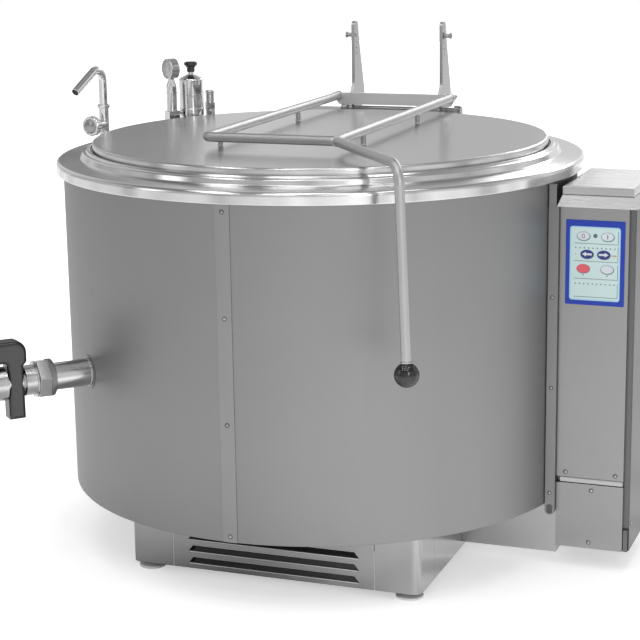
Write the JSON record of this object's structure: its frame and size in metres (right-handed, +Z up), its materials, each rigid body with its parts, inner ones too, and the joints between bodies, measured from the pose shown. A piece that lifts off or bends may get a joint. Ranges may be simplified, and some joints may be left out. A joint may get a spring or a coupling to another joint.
{
  "type": "steam jacketed kettle",
  "caption": "Round jacketed boiling kettle with a hinged balanced lid on a tube frame, a bottom drain cock, rim tap and safety valves, and a slim control column",
  "frame": {"origin": "floor under the middle of the overall box, between the feet", "axes": "+X to the side with the control column, +Y to the rear hinge, +Z up; the operator stands on the -Y side"},
  "size_m": [1.374, 1.3758, 1.144],
  "materials": {
    "vessel_steel": "ground stainless sheet",
    "heater_steel": "drawn stainless tube",
    "insulation_wool": "loose mineral wool",
    "rim_steel": "polished with a fine grain",
    "cladding_steel": "satin brushed, upright grain",
    "frame_steel": "mill finish",
    "base_steel": "satin brushed, level grain",
    "foot_steel": "turned satin",
    "pipe_steel": "polished",
    "cast_steel": "cast and machined",
    "black_plastic": "moulded phenolic",
    "tap_chrome": "polished",
    "fitting_chrome": "polished and plated",
    "gauge_steel": "polished",
    "dial_white": "matt lacquer",
    "needle_black": "matt",
    "gauge_glass": "clear",
    "housing_steel": "satin brushed",
    "shaft_steel": "oiled dark steel",
    "lid_steel": "brushed sheet",
    "tube_steel": "polished tube",
    "arm_steel": "brushed plate",
    "column_steel": "satin brushed",
    "panel_steel": "satin brushed",
    "cover_steel": "satin brushed",
    "keypad_film": "printed film, fine texture",
    "key_pale_film": "printed film",
    "key_navy_film": "printed film",
    "key_red_film": "printed film",
    "gear_grey": "moulded and plated parts",
    "channel_steel": "satin brushed",
    "screw_steel": "turned"
  },
  "bodies": {
    "kettle": {"vessel_bottom": "vessel_steel", "vessel_wall": "vessel_steel", "jacket_shell": "vessel_steel", "heater": "heater_steel", "insulation": "insulation_wool", "rim_ring": "rim_steel", "cladding_left": "cladding_steel", "cladding_right": "cladding_steel", "seam_strips": "cladding_steel", "cladding_floor": "frame_steel", "jacket_supports": "frame_steel", "base_frame": "frame_steel", "base_corners": "base_steel", "louvre_panel": "base_steel", "base_panels": "base_steel", "cable_duct": "base_steel", "drain_pipe": "pipe_steel", "drain_union_nut": "cast_steel", "drain_valve_body": "cast_steel", "tap_body": "tap_chrome", "safety_manifold": "fitting_chrome", "safety_valve": "fitting_chrome", "vacuum_valve": "fitting_chrome", "gauge_case": "gauge_steel", "gauge_dial": "dial_white", "gauge_glass": "gauge_glass", "hinge_housing": "housing_steel", "hinge_shaft": "shaft_steel", "column_housing": "column_steel", "column_side_cover": "column_steel", "column_front_panel": "panel_steel", "column_lower_panel": "panel_steel", "column_cover": "cover_steel", "keypad_overlay": "keypad_film", "control_gear": "gear_grey", "side_channel": "channel_steel", "screws": "screw_steel"},
    "lid": {"lid_shell": "lid_steel", "lid_underside": "lid_steel", "lid_bars": "tube_steel", "lid_handle": "tube_steel", "ball_knob": "black_plastic", "hinge_plate": "arm_steel", "balance_arms": "arm_steel"},
    "drain_cock": {"drain_plug": "cast_steel", "drain_handle": "black_plastic"},
    "spout": {"tap_spout": "tap_chrome"},
    "tap_wheel": {"tap_knob": "tap_chrome"},
    "relief_knob": {"safety_valve_knob": "black_plastic"},
    "pointer": {"gauge_needle": "needle_black"},
    "key_off_cap": {"key_off": "key_pale_film"},
    "key_on_cap": {"key_on": "key_pale_film"},
    "key_down_cap": {"key_down": "key_navy_film"},
    "key_up_cap": {"key_up": "key_navy_film"},
    "key_red_cap": {"key_red": "key_red_film"},
    "key_pale_cap": {"key_pale": "key_pale_film"},
    "foot_front_left_screw": {"foot_front_left": "foot_steel"},
    "foot_rear_left_screw": {"foot_rear_left": "foot_steel"},
    "foot_front_right_screw": {"foot_front_right": "foot_steel"},
    "foot_rear_right_screw": {"foot_rear_right": "foot_steel"}
  },
  "joints": [
    {"name": "lid_hinge", "type": "hinge", "parent": "kettle", "child": "lid", "pos_m": [-0.07296, 0.59794, 0.917], "axis": [-1, 0, 0], "range_deg": [0, 85]},
    {"name": "drain_turn", "type": "hinge", "parent": "kettle", "child": "drain_cock", "pos_m": [-0.07296, -0.00205, 0.446], "axis": [-0.6652, -0.7466, 0], "range_deg": [0, 90]},
    {"name": "spout_swing", "type": "hinge", "parent": "kettle", "child": "spout", "pos_m": [-0.64183, 0.03374, 1], "axis": [0, 0, 1], "range_deg": [0, 100]},
    {"name": "tap_turn", "type": "hinge", "parent": "kettle", "child": "tap_wheel", "pos_m": [-0.64183, 0.03374, 0.931], "axis": [-0.1736, -0.9848, 0], "range_deg": [0, 270]},
    {"name": "relief_lift", "type": "slide", "parent": "kettle", "child": "relief_knob", "axis": [0, 0, 1], "range_m": [0, 0.004], "stiffness_N_per_m": 4000, "springref_m": -0.002},
    {"name": "pointer_turn", "type": "hinge", "parent": "kettle", "child": "pointer", "pos_m": [-0.57411, 0.27563, 1.042], "axis": [-0.5707, -0.8211, 0], "range_deg": [0, 270], "stiffness_Nm_per_rad": 0.002},
    {"name": "key_off_press", "type": "slide", "parent": "kettle", "child": "key_off_cap", "axis": [0, 1, 0], "range_m": [0, 0.0003], "stiffness_N_per_m": 4000},
    {"name": "key_on_press", "type": "slide", "parent": "kettle", "child": "key_on_cap", "axis": [0, 1, 0], "range_m": [0, 0.0003], "stiffness_N_per_m": 4000},
    {"name": "key_down_press", "type": "slide", "parent": "kettle", "child": "key_down_cap", "axis": [0, 1, 0], "range_m": [0, 0.0003], "stiffness_N_per_m": 4000},
    {"name": "key_up_press", "type": "slide", "parent": "kettle", "child": "key_up_cap", "axis": [0, 1, 0], "range_m": [0, 0.0003], "stiffness_N_per_m": 4000},
    {"name": "key_red_press", "type": "slide", "parent": "kettle", "child": "key_red_cap", "axis": [0, 1, 0], "range_m": [0, 0.0003], "stiffness_N_per_m": 4000},
    {"name": "key_pale_press", "type": "slide", "parent": "kettle", "child": "key_pale_cap", "axis": [0, 1, 0], "range_m": [0, 0.0003], "stiffness_N_per_m": 4000},
    {"name": "foot_front_left_height", "type": "slide", "parent": "kettle", "child": "foot_front_left_screw", "axis": [0, 0, -1], "range_m": [0, 0.025]},
    {"name": "foot_rear_left_height", "type": "slide", "parent": "kettle", "child": "foot_rear_left_screw", "axis": [0, 0, -1], "range_m": [0, 0.025]},
    {"name": "foot_front_right_height", "type": "slide", "parent": "kettle", "child": "foot_front_right_screw", "axis": [0, 0, -1], "range_m": [0, 0.025]},
    {"name": "foot_rear_right_height", "type": "slide", "parent": "kettle", "child": "foot_rear_right_screw", "axis": [0, 0, -1], "range_m": [0, 0.025]}
  ]
}
